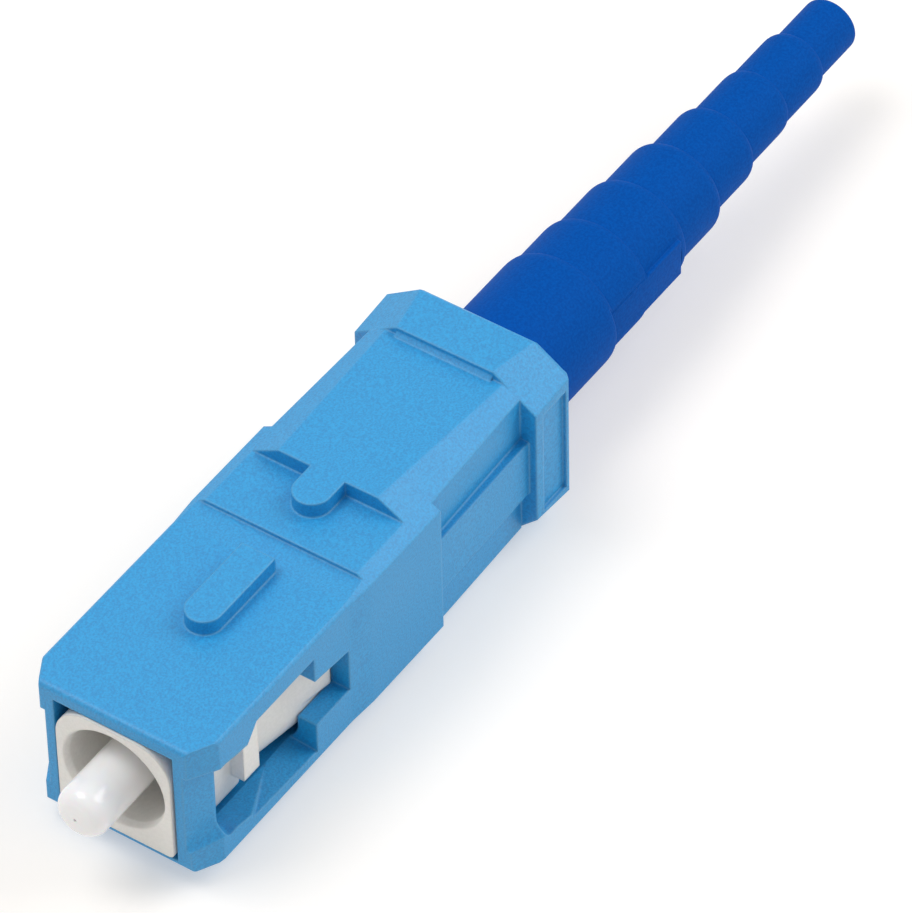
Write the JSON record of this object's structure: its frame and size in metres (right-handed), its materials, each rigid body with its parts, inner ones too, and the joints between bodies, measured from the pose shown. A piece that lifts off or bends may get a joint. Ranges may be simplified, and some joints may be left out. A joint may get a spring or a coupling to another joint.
{
  "type": "fibre optic connector plug",
  "caption": "Push-pull fibre connector plug with a square sliding housing, keyed top, ceramic ferrule and stepped strain-relief boot.",
  "frame": {"origin": "on the optical axis, in the plane of the outer housing's front face", "axes": "+X is the mating direction along the ferrule, +Z is the key side of the housing, +Y is across"},
  "size_m": [0.0587, 0.0094, 0.0096],
  "materials": {
    "housing_plastic": "fine matt moulded",
    "frame_plastic": "satin moulded",
    "zirconia": "polished",
    "boot_elastomer": "fine matt moulded",
    "flange_steel": "turned",
    "spring_steel": "bright drawn",
    "post_brass": "nickel plated",
    "crimp_metal": "plain drawn",
    "tube_plastic": "translucent extruded"
  },
  "bodies": {
    "core": {"plug_frame": "frame_plastic", "stop_ring": "post_brass", "crimp_sleeve": "crimp_metal", "boot": "boot_elastomer", "ferrule_spring": "spring_steel"},
    "housing": {"outer_housing": "housing_plastic"},
    "ferrule_set": {"ferrule": "zirconia", "ferrule_flange": "flange_steel", "guide_tube": "tube_plastic"}
  },
  "joints": [
    {"name": "housing_slide", "type": "slide", "parent": "core", "child": "housing", "axis": [1, 0, 0], "range_m": [-0.0018, 0.0003]},
    {"name": "ferrule_float", "type": "slide", "parent": "core", "child": "ferrule_set", "axis": [1, 0, 0], "range_m": [-0.0015, 0], "stiffness_N_per_m": 2200, "springref_m": 0.0036, "deforming": ["ferrule_spring"]}
  ]
}
